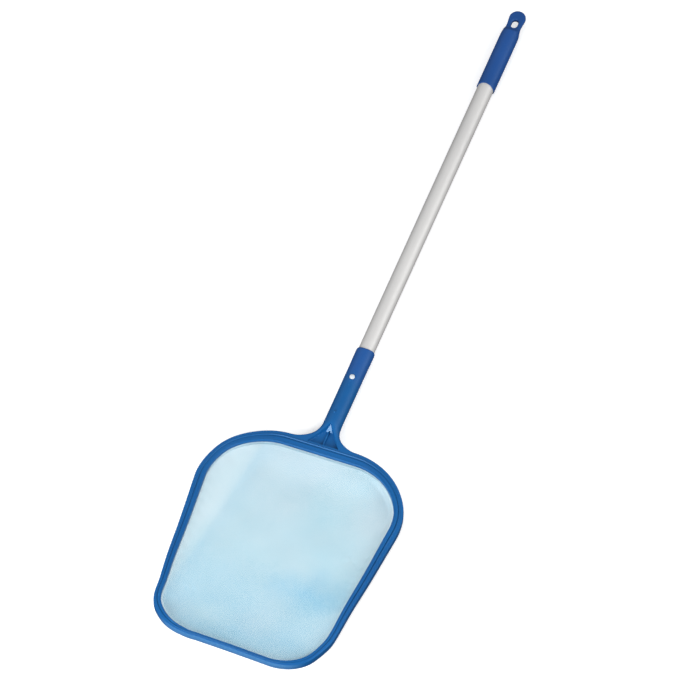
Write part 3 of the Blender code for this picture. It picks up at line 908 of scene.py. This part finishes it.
# Small gathers of cloth near the rim: place and size, in mm.
PUCKERS = (((-17, 36), 11), ((69, 52), 13), ((111, 224), 15), ((-96, 96), 10))
PUCKER_HEIGHT = 0.55 * MM


def puckers(x, y):
    """Three-lobed gathers of cloth at a few places."""
    total = np.zeros_like(x)
    for (px, py), size in PUCKERS:
        away = np.hypot(x - px * MM, y - py * MM) / (size * MM)
        turn = np.arctan2(y - py * MM, x - px * MM)
        total += PUCKER_HEIGHT * np.exp(-away ** 2) * np.cos(3 * turn + px)
    return total


def hem_gathers(x, y, near):
    """Fine uneven gathers in a band beside the hem."""
    around = np.arctan2(y - NET_CENTRE, x)
    band = np.exp(-((near - HELD_WIDTH) / GATHER_REACH) ** 2)
    return GATHER_HEIGHT * band * np.sin(GATHERS * around + 2 * np.sin(5 * around))


def make_net(material):
    """The net: a clamped hem and one sheet of slack cloth with soft folds."""
    rim = closed_half(1.0, 0.25 * MM)
    rim = mirrored(flat_ring(rim, HEM_Z))[:, :2]
    # Even spacing round the rim.
    step = np.hypot(*(np.roll(rim, -1, 0) - rim).T)
    length = np.concatenate([[0], np.cumsum(step)])
    count = int(length[-1] / NET_PITCH)
    at = np.arange(count) * length[-1] / count
    closed = np.concatenate([rim, rim[:1]])
    rim = np.column_stack([np.interp(at, length, closed[:, 0]), np.interp(at, length, closed[:, 1])])

    xs, ys = np.arange(*NET_SPAN_X, NET_PITCH), np.arange(*NET_SPAN_Y, NET_PITCH)
    grid = np.stack(np.meshgrid(xs, ys), -1).reshape(-1, 2)
    grid = grid[inside(grid, rim, 0.62 * NET_PITCH)]
    points = [Vector(p) for p in np.concatenate([rim, grid])]
    edges = [(i, (i + 1) % count) for i in range(count)]
    verts, _, faces, _, _, _ = delaunay_2d_cdt(points, edges, [list(range(count))], 1, 1e-7)
    xy = np.array([tuple(v) for v in verts])
    near = rim_distance(xy, rim)
    free = ease(near, 0.0, HELD_WIDTH)
    x, y = xy[:, 0], xy[:, 1]
    z = fold_height(x, y) + puckers(x, y) + hem_gathers(x, y, near)
    z = HEM_Z * (1 - free) + np.clip(z, NET_FLOOR * 0.6, HEM_Z) * free
    mesh = bpy.data.meshes.new("net_cloth")
    mesh.from_pydata(placed(np.column_stack([xy, z])), [], [tuple(f) for f in faces])
    obj = bpy.data.objects.new("net_cloth", mesh)
    COLLECTION.objects.link(obj)
    mesh.materials.append(material)
    mesh.attributes.new("from_rim", "FLOAT", "POINT").data.foreach_set("value", near)
    bm = bmesh.new()
    bm.from_mesh(mesh)
    bmesh.ops.recalc_face_normals(bm, faces=bm.faces)
    if sum(f.normal.z for f in bm.faces) < 0:
        bmesh.ops.reverse_faces(bm, faces=bm.faces)
    bm.to_mesh(mesh)
    bm.free()
    mesh.shade_smooth()
    return obj


def inside(points, rim, margin):
    """Which points lie inside the rim by at least a margin."""
    a, b = rim, np.roll(rim, -1, 0)
    result = np.zeros(len(points), bool)
    for (ax, ay), (bx, by) in zip(a, b):
        crosses = (ay > points[:, 1]) != (by > points[:, 1])
        with np.errstate(divide="ignore", invalid="ignore"):
            x = (bx - ax) * (points[:, 1] - ay) / (by - ay) + ax
        result ^= crosses & (points[:, 0] < x)
    return result & (rim_distance(points, rim) > margin)


def rim_distance(points, rim):
    """How far each point is from the rim's nearest vertex."""
    distance = np.full(len(points), 1e9)
    for p in rim:
        distance = np.minimum(distance, np.hypot(points[:, 0] - p[0], points[:, 1] - p[1]))
    return distance


# --------------------
# Pole, grip, button and spring


def make_pole(material):
    """The drawn tube, with softly broken ends and a drilled hole for the button."""
    start, end = POLE_LOW.y - LEAD, POLE_HIGH.y - LEAD
    wall = 1.0 * MM
    chamfer = 0.25 * MM
    count = 128
    bm = bmesh.new()
    sections = [(POLE_RADIUS - chamfer, start)]
    stations = 36
    for i in range(stations + 1):
        sections.append((POLE_RADIUS, start + chamfer + (end - start - 2 * chamfer) * i / stations))
    sections += [(POLE_RADIUS - chamfer, end), (POLE_RADIUS - wall + chamfer, end)]
    sections += [(POLE_RADIUS - wall, end - chamfer), (POLE_RADIUS - wall, start + chamfer)]
    sections.append((POLE_RADIUS - wall + chamfer, start))
    loft(bm, [row_verts(bm, circle_ring(r, r, y, count)) for r, y in sections], joined=True)
    pole = finished("pole", bm, material)
    hole = bmesh.new()
    radius = PIN_RADIUS + CLEARANCE
    bmesh.ops.create_cone(
        hole, cap_ends=True, segments=40, radius1=radius, radius2=radius, depth=15 * MM,
        matrix=Matrix.Translation((0, BUTTON_AT, AXIS_Z + 12.5 * MM)))
    return combine(pole, hole, "DIFFERENCE")


EYE_RADIUS = 12.6 * MM
EYE_CENTRE = TOOL_END - EYE_RADIUS
EYE_HALF_HEIGHT = 3.6 * MM
GRIP_RADIUS = 14.1 * MM
GRIP_MOUTH = GRIP_LOW.y - LEAD
SHOULDER = EYE_CENTRE - 32.4 * MM
SHOULDER_LENGTH = 12 * MM
WAIST_FROM, WAIST_AT = SHOULDER - 5 * MM, SHOULDER + 16 * MM
WAIST = 11.3 * MM
ROUND_POWER, EYE_POWER = 2.0, 4.4
SLOT_AT = EYE_CENTRE - 12.1 * MM
SLOT_HALF_WIDTH, SLOT_HALF_LENGTH = 5.0 * MM, 7.75 * MM


def grip_section(y):
    """Half width, half height and squareness of the grip at a place."""
    flatten = float(ease(y, SHOULDER, SHOULDER + SHOULDER_LENGTH))
    narrow = float(ease(y, WAIST_FROM, WAIST_AT))
    if y <= WAIST_AT:
        width = GRIP_RADIUS + (WAIST - GRIP_RADIUS) * narrow
    elif y <= EYE_CENTRE:
        width = WAIST + (EYE_RADIUS - WAIST) * float(ease(y, WAIST_AT, EYE_CENTRE))
    else:
        width = math.sqrt(max(EYE_RADIUS ** 2 - (y - EYE_CENTRE) ** 2, 0.0))
    height = GRIP_RADIUS + (EYE_HALF_HEIGHT - GRIP_RADIUS) * flatten
    return width, height, ROUND_POWER + (EYE_POWER - ROUND_POWER) * flatten


def make_grip(material):
    """The soft sleeve with its flat hanging eye, one moulding."""
    count = 96
    bm = bmesh.new()
    bore = POLE_RADIUS + CLEARANCE
    roll = 0.7 * MM
    rings = [circle_ring(bore, bore, POLE_HIGH.y - LEAD + END_GAP, count)]
    rings.append(scalloped(circle_ring(bore, bore, GRIP_MOUTH + 0.6 * MM, count), 1))
    for i in range(7):
        a = math.pi * i / 6
        mid, half = (bore + GRIP_RADIUS) / 2, (GRIP_RADIUS - bore) / 2
        r = mid - half * math.cos(a)
        rings.append(scalloped(circle_ring(r, r, GRIP_MOUTH + roll * (1 - math.sin(a)), count), 1))
    # The plain sleeve, at distances in mm from its mouth.
    for at in (3.2, 5.0, 12, 30, 60, 90):
        rings.append(circle_ring(GRIP_RADIUS, GRIP_RADIUS, GRIP_MOUTH + at * MM, count))
    # The shoulder and the eye.
    places = list(np.linspace(SHOULDER - 6 * MM, EYE_CENTRE, 36))
    places += [EYE_CENTRE + EYE_RADIUS * math.sin(math.radians(a)) for a in range(6, 88, 6)]
    for y in places:
        width, height, power = grip_section(y)
        tip = max(EYE_RADIUS ** 2 - max(y - EYE_CENTRE, 0) ** 2, 0) ** 0.5 / EYE_RADIUS
        height *= 0.45 + 0.55 * tip ** 0.7
        rings.append(circle_ring(width, height, y, count, power))
    loft(bm, [row_verts(bm, ring) for ring in rings], capped=True)
    grip = finished("grip_sleeve", bm, material)
    return combine(grip, slot_cutter(), "DIFFERENCE")


def slot_cutter():
    """The hang slot, flared at both faces so that its rims are rounded."""
    straight = SLOT_HALF_LENGTH - SLOT_HALF_WIDTH
    flare = 0.9 * MM
    levels = [(EYE_HALF_HEIGHT + 6 * MM, flare + 0.4 * MM)]
    for i in range(7):
        a = math.pi / 2 * i / 6
        levels.append((EYE_HALF_HEIGHT - flare * math.sin(a) + 0.02 * MM, flare * (1 - math.sin(a))))
    levels += [(-z, more) for z, more in levels[::-1]]
    bm = bmesh.new()
    rows = []
    for z, more in levels:
        radius = SLOT_HALF_WIDTH + more
        points = np.concatenate([
            arc((0, straight), radius, 0, math.pi, 24),
            arc((0, -straight), radius, math.pi, 2 * math.pi, 24)])
        rows.append(row_verts(bm, [(x, SLOT_AT + y, AXIS_Z + z) for x, y in points]))
    loft(bm, rows, capped=True)
    return bm


def make_button(material):
    """The turned snap button: domed pin, rounded shoulder and a flange under the pole's wall."""
    base, top = BUTTON_LOW.z, BUTTON_HIGH.z
    dome, rounding = 0.7 * MM, 0.6 * MM
    flat = PIN_RADIUS - rounding
    profile = [(0.0, top)]
    for i in range(1, 9):
        r = flat * i / 8
        profile.append((r, top - dome * (r / flat) ** 2))
    for i in range(1, 7):
        a = math.pi / 2 * i / 6
        z = top - dome - rounding * (1 - math.cos(a))
        profile.append((PIN_RADIUS - rounding * (1 - math.sin(a)), z))
    flange, fillet, bevel = 1.0 * MM, 0.2 * MM, 0.1 * MM
    profile += [(PIN_RADIUS, base + flange + fillet), (PIN_RADIUS + fillet, base + flange),
                (FLANGE_RADIUS, base + flange), (FLANGE_RADIUS, base + bevel),
                (FLANGE_RADIUS - bevel, base), (0.0, base)]
    count = 64
    bm = bmesh.new()
    rows = []
    for r, z in profile:
        if r == 0.0:
            rows.append([bm.verts.new((0, BUTTON_AT, z))])
        else:
            rows.append(button_circle(bm, r, z, count))
    for first, second in zip(rows, rows[1:]):
        if len(first) == 1 or len(second) == 1:
            tip, ring = (first[0], second) if len(first) == 1 else (second[0], first)
            for i in range(count):
                bm.faces.new((tip, ring[i], ring[(i + 1) % count]))
        else:
            bridge(bm, first, second)
    return finished("snap_pin", bm, material, 50)


def make_spring(material):
    """The V spring: a strip with rounded edges, bent back on itself inside the pole."""
    width = SPRING_HIGH.x - SPRING_LOW.x
    thick = 0.8 * MM
    floor = SPRING_LOW.z + thick / 2
    upper = SPRING_HIGH.z - thick / 2
    open_end, bend_end = SPRING_LOW.y, SPRING_HIGH.y
    bend_radius = 2.2 * MM
    bend_y = bend_end - bend_radius - thick / 2
    seat = (BUTTON_AT + 3 * MM, BUTTON_AT + 7 * MM)
    path = [(open_end, upper), (seat[0], upper), (seat[1], upper)]
    for i in range(13):
        a = math.pi / 2 - math.pi * i / 12
        path.append((bend_y + bend_radius * math.cos(a), floor + bend_radius + bend_radius * math.sin(a)))
    path.append((open_end, floor))
    path = np.array(path)
    step = np.gradient(path, axis=0)
    step /= np.linalg.norm(step, axis=1)[:, None]
    normal = np.column_stack([-step[:, 1], step[:, 0]])
    r = 0.25 * MM
    section = []
    for cx, cz, start in ((1, 1, 0), (-1, 1, 90), (-1, -1, 180), (1, -1, 270)):
        for i in range(4):
            a = math.radians(start + 30 * i)
            section.append((cx * (width / 2 - r) + r * math.cos(a), cz * (thick / 2 - r) + r * math.sin(a)))
    bm = bmesh.new()
    loops = []
    for (y, z), (ny, nz) in zip(path, normal):
        loops.append([bm.verts.new((x, y + ny * h, z + nz * h)) for x, h in section])
    loft(bm, loops, capped=True)
    return finished("v_spring", bm, material)


# --------------------
# Stage

VIEW_AZIMUTH = 20.52
VIEW_ELEVATION = 55.22
LOOK_AT = (-0.0438, -0.0350, 0.0141)
VIEW_WIDTH = 1.0168
LENS = 1600.0
SENSOR = 36.0

FLOOR_HALF_SIZE = 16.0
FLOOR_GAP = 0.2 * MM
FLOOR_GLOW = 0.34

# Soft lights: azimuth and elevation in degrees, distance, size, and power in watts.
LIGHTS = {
    "front_low": (-13, 24, 3.0, (1.5, 1.3), 92),
    "right": (86, 38, 3.2, (2.6, 2.0), 61),
    "back_left": (-120, 40, 3.6, (2.6, 1.8), 4),
    "back_right": (125, 16, 3.4, (2.4, 1.4), 14)}


def from_angles(azimuth, elevation):
    """The direction from the tool towards a viewpoint."""
    a, e = math.radians(azimuth), math.radians(elevation)
    return Vector((math.sin(a) * math.cos(e), -math.cos(a) * math.cos(e), math.sin(e)))


def make_camera():
    """A very long lens at the photograph's angle."""
    back = from_angles(VIEW_AZIMUTH, VIEW_ELEVATION)
    data = bpy.data.cameras.new("camera")
    data.lens = LENS
    data.sensor_width = SENSOR
    data.clip_start = 1.0
    data.clip_end = 200.0
    camera = bpy.data.objects.new("camera", data)
    camera.location = Vector(LOOK_AT) + back * (VIEW_WIDTH * LENS / SENSOR)
    camera.rotation_mode = "QUATERNION"
    camera.rotation_quaternion = (-back).to_track_quat("-Z", "Y")
    COLLECTION.objects.link(camera)
    bpy.context.scene.camera = camera


def soft_light(name, azimuth, elevation, distance, size, power):
    """A rectangular area light aimed at the tool's middle."""
    data = bpy.data.lights.new(name, "AREA")
    data.shape = "RECTANGLE"
    data.size, data.size_y = size
    data.energy = power
    light = bpy.data.objects.new(name, data)
    direction = from_angles(azimuth, elevation)
    light.location = direction * distance
    light.rotation_mode = "QUATERNION"
    light.rotation_quaternion = direction.to_track_quat("Z", "Y")
    COLLECTION.objects.link(light)


def make_stage():
    """The floor, the dome and the lights. The floor stays out of reflections and bounced light."""
    bm = bmesh.new()
    bmesh.ops.create_grid(bm, x_segments=1, y_segments=1, size=FLOOR_HALF_SIZE)
    floor = linked("floor", bm)
    floor.location.z = -FLOOR_GAP
    n = Nodes("pale_floor")
    cloud = n.spread(n.noise(0.8, 2.0, 0.5), 0.3, 0.7)
    tone = n.blend(cloud, (0.93, 0.93, 0.935), (0.95, 0.95, 0.95))
    n.shade(Base_Color=tone, Roughness=0.9, Specular_IOR_Level=0.1)
    n.shade(Emission_Color=(1.0, 1.0, 1.0), Emission_Strength=FLOOR_GLOW)
    floor.data.materials.append(n.mat)
    floor.visible_glossy = False
    floor.visible_diffuse = False
    bpy.context.scene.view_settings.view_transform = "Standard"
    make_world()
    for light, settings in LIGHTS.items():
        soft_light(light, *settings)


def make_world():
    """A pale dome that dims below the horizon. The camera itself sees plain white there."""
    world = bpy.data.worlds.new("studio")
    world.use_nodes = True
    tree = world.node_tree
    sky = tree.nodes["Background"]
    sky.inputs["Color"].default_value = (0.97, 0.985, 1.0, 1.0)
    place = tree.nodes.new("ShaderNodeTexCoord")
    split = tree.nodes.new("ShaderNodeSeparateXYZ")
    tree.links.new(place.outputs["Generated"], split.inputs[0])
    fade = tree.nodes.new("ShaderNodeMapRange")
    fade.interpolation_type = "SMOOTHSTEP"
    for name, number in (("From Min", -0.35), ("From Max", 0.55), ("To Min", 0.10), ("To Max", 0.52)):
        fade.inputs[name].default_value = number
    tree.links.new(split.outputs["Z"], fade.inputs["Value"])
    path = tree.nodes.new("ShaderNodeLightPath")
    seen = tree.nodes.new("ShaderNodeMix")
    tree.links.new(path.outputs["Is Camera Ray"], seen.inputs[0])
    tree.links.new(fade.outputs["Result"], seen.inputs[2])
    seen.inputs[3].default_value = 1.0
    tree.links.new(seen.outputs[0], sky.inputs["Strength"])
    bpy.context.scene.world = world


# --------------------
# Build

make_camera()
make_stage()

head = make_head(moulded_plastic("head_blue", FRAME_BLUES, 0.40, 1500.0, head=True))
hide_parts("net_frame")
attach(head, "skimmer")

ring = make_ring(moulded_plastic("ring_blue", FRAME_BLUES, 0.40, 1700.0))
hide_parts("mesh_retaining_ring")
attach(ring, "skimmer")

net = make_net(woven_net())
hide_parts("net_mesh")
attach(net, "skimmer")

pole = make_pole(satin_aluminium())
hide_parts("pole_tube")
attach(pole, "skimmer")

grip = make_grip(moulded_plastic("grip_blue", GRIP_BLUES, 0.42, 900.0))
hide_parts("hand_grip")
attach(grip, "skimmer")

button = make_button(polished_steel("button_steel", BUTTON_STEEL, 0.30, (260, 260, 40), metallic=0.45))
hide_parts("snap_button")
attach(button, "button")

spring = make_spring(polished_steel("spring_steel", SPRING_STEEL, 0.26, (700, 30, 700)))
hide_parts("button_spring")
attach(spring, "skimmer")
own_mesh(spring)
